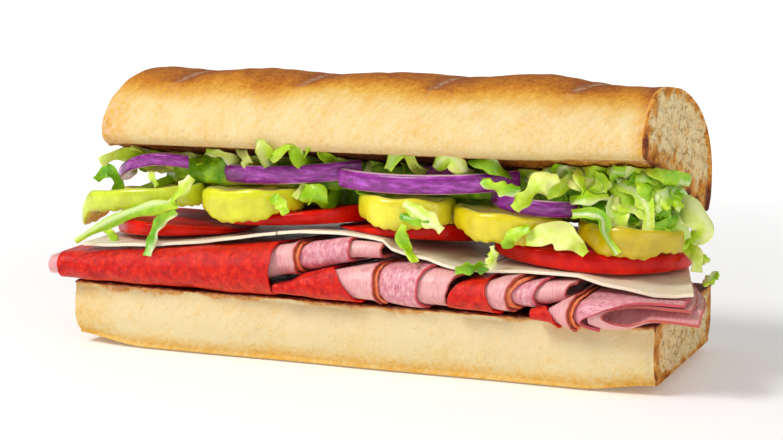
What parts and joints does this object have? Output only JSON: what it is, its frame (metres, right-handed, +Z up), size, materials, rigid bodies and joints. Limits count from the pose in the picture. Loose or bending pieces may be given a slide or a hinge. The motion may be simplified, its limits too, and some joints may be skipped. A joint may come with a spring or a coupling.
{
  "type": "submarine sandwich",
  "caption": "Open-sided submarine sandwich: a sliced long roll around folded meats, cheese, tomato, pepper rings, onion and shredded lettuce.",
  "frame": {"origin": "centre of the bottom bun's flat base, on the surface it rests on", "axes": "+X along the roll to its cut end, -Y out of the open front where the filling shows, +Z up"},
  "size_m": [0.223, 0.0916, 0.094],
  "materials": {
    "bun_bottom": "baked crumb and crust, dull",
    "bun_top": "golden baked crust, dull",
    "meat_red": "oily cured meat",
    "meat_rim": "oily cured meat rim",
    "meat_ham": "moist sliced ham",
    "meat_salami": "moist marbled salami",
    "cheese": "soft, satin",
    "tomato": "wet",
    "pepper": "wet",
    "onion": "moist",
    "lettuce": "crisp leaf, satin"
  },
  "bodies": {
    "root": {"bun_bottom": "bun_bottom", "bun_top": "bun_top", "meat_a_red": "meat_red", "meat_a_ham": "meat_ham", "meat_a_rim": "meat_rim", "meat_a_salami": "meat_salami", "meat_a_inner": "meat_ham", "meat_b_red": "meat_red", "meat_b_ham": "meat_ham", "meat_b_rim": "meat_rim", "meat_b_salami": "meat_salami", "meat_b_inner": "meat_ham", "meat_c_red": "meat_red", "meat_c_ham": "meat_ham", "meat_c_rim": "meat_rim", "meat_c_salami": "meat_salami", "meat_c_inner": "meat_ham", "meat_d_red": "meat_red", "meat_d_ham": "meat_ham", "meat_d_rim": "meat_rim", "meat_d_salami": "meat_salami", "meat_d_loop": "meat_ham", "cheese_1": "cheese", "cheese_2": "cheese", "cheese_3": "cheese", "tomato_1": "tomato", "tomato_2": "tomato", "tomato_3": "tomato", "tomato_4": "tomato", "pepper_1": "pepper", "pepper_2": "pepper", "pepper_3": "pepper", "pepper_4": "pepper", "pepper_5": "pepper", "onion_1": "onion", "onion_2": "onion", "onion_3": "onion", "onion_4": "onion", "onion_5": "onion", "lettuce_heap": "lettuce", "lettuce_shred_1": "lettuce", "lettuce_shred_2": "lettuce", "lettuce_shred_3": "lettuce", "lettuce_shred_4": "lettuce", "lettuce_shred_5": "lettuce", "lettuce_shred_6": "lettuce", "lettuce_shred_7": "lettuce", "lettuce_shred_8": "lettuce", "lettuce_shred_9": "lettuce", "lettuce_shred_10": "lettuce", "lettuce_shred_11": "lettuce", "lettuce_shred_12": "lettuce"}
  },
  "joints": []
}
